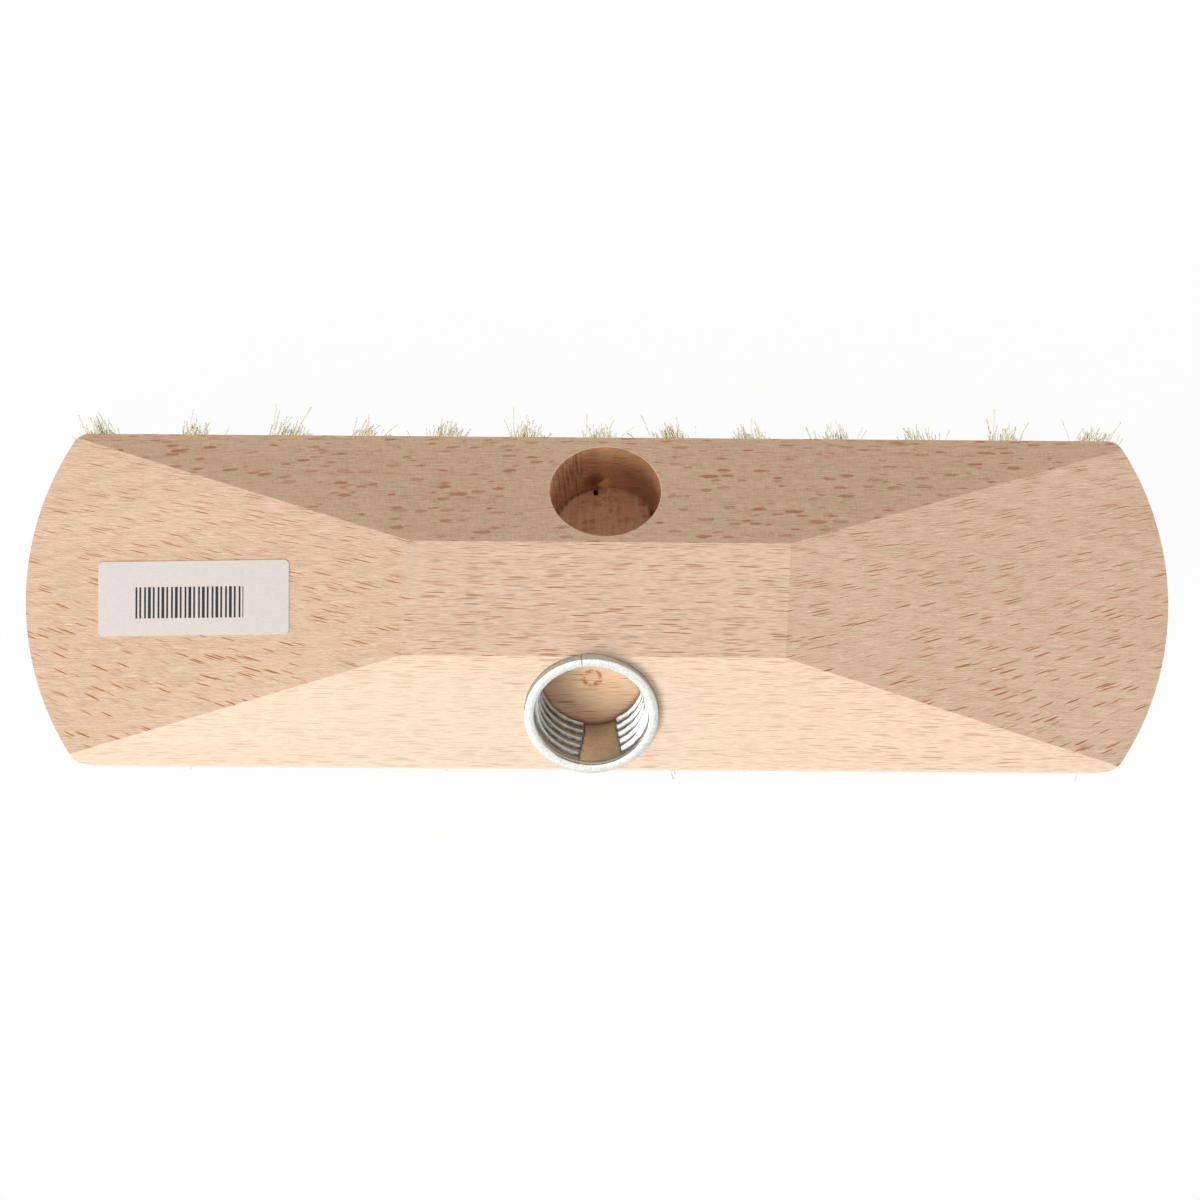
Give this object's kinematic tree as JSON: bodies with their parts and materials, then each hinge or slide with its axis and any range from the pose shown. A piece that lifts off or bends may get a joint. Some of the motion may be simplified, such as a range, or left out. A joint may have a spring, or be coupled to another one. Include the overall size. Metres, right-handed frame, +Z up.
{
  "type": "floor scrub brush",
  "caption": "Floor scrub brush head: a hipped beech block with a plain and a metal-sleeved slanted handle socket, a small paper label and stiff cream plant-fibre tufts below.",
  "frame": {"origin": "on the floor plane under the middle of the brush, where the fibre tips stand", "axes": "+X along the block, away from the label; -Y towards the side with the metal sleeve; +Z up"},
  "size_m": [0.242, 0.0782, 0.0796],
  "materials": {
    "beech": "bare sanded wood",
    "galvanised_steel": "bright galvanised",
    "label_paper": "matt paper",
    "plant_fibre": "stiff natural fibre",
    "anchor_wire": "drawn flat wire"
  },
  "bodies": {
    "root": {"wood_block": "beech", "threaded_sleeve": "galvanised_steel", "paper_label": "label_paper", "front_outer_tufts": "plant_fibre", "front_inner_tufts": "plant_fibre", "rear_inner_tufts": "plant_fibre", "rear_outer_tufts": "plant_fibre", "tuft_anchor_01": "anchor_wire", "tuft_anchor_02": "anchor_wire", "tuft_anchor_03": "anchor_wire", "tuft_anchor_04": "anchor_wire", "tuft_anchor_05": "anchor_wire", "tuft_anchor_06": "anchor_wire", "tuft_anchor_07": "anchor_wire", "tuft_anchor_08": "anchor_wire", "tuft_anchor_09": "anchor_wire", "tuft_anchor_10": "anchor_wire", "tuft_anchor_11": "anchor_wire", "tuft_anchor_12": "anchor_wire", "tuft_anchor_13": "anchor_wire", "tuft_anchor_14": "anchor_wire", "tuft_anchor_15": "anchor_wire", "tuft_anchor_16": "anchor_wire", "tuft_anchor_17": "anchor_wire", "tuft_anchor_18": "anchor_wire", "tuft_anchor_19": "anchor_wire", "tuft_anchor_20": "anchor_wire", "tuft_anchor_21": "anchor_wire", "tuft_anchor_22": "anchor_wire", "tuft_anchor_23": "anchor_wire", "tuft_anchor_24": "anchor_wire", "tuft_anchor_25": "anchor_wire", "tuft_anchor_26": "anchor_wire", "tuft_anchor_27": "anchor_wire", "tuft_anchor_28": "anchor_wire", "tuft_anchor_29": "anchor_wire", "tuft_anchor_30": "anchor_wire", "tuft_anchor_31": "anchor_wire", "tuft_anchor_32": "anchor_wire", "tuft_anchor_33": "anchor_wire", "tuft_anchor_34": "anchor_wire", "tuft_anchor_35": "anchor_wire", "tuft_anchor_36": "anchor_wire", "tuft_anchor_37": "anchor_wire", "tuft_anchor_38": "anchor_wire", "tuft_anchor_39": "anchor_wire", "tuft_anchor_40": "anchor_wire", "tuft_anchor_41": "anchor_wire", "tuft_anchor_42": "anchor_wire", "tuft_anchor_43": "anchor_wire", "tuft_anchor_44": "anchor_wire", "tuft_anchor_45": "anchor_wire", "tuft_anchor_46": "anchor_wire", "tuft_anchor_47": "anchor_wire", "tuft_anchor_48": "anchor_wire", "tuft_anchor_49": "anchor_wire", "tuft_anchor_50": "anchor_wire", "tuft_anchor_51": "anchor_wire", "tuft_anchor_52": "anchor_wire"}
  },
  "joints": []
}
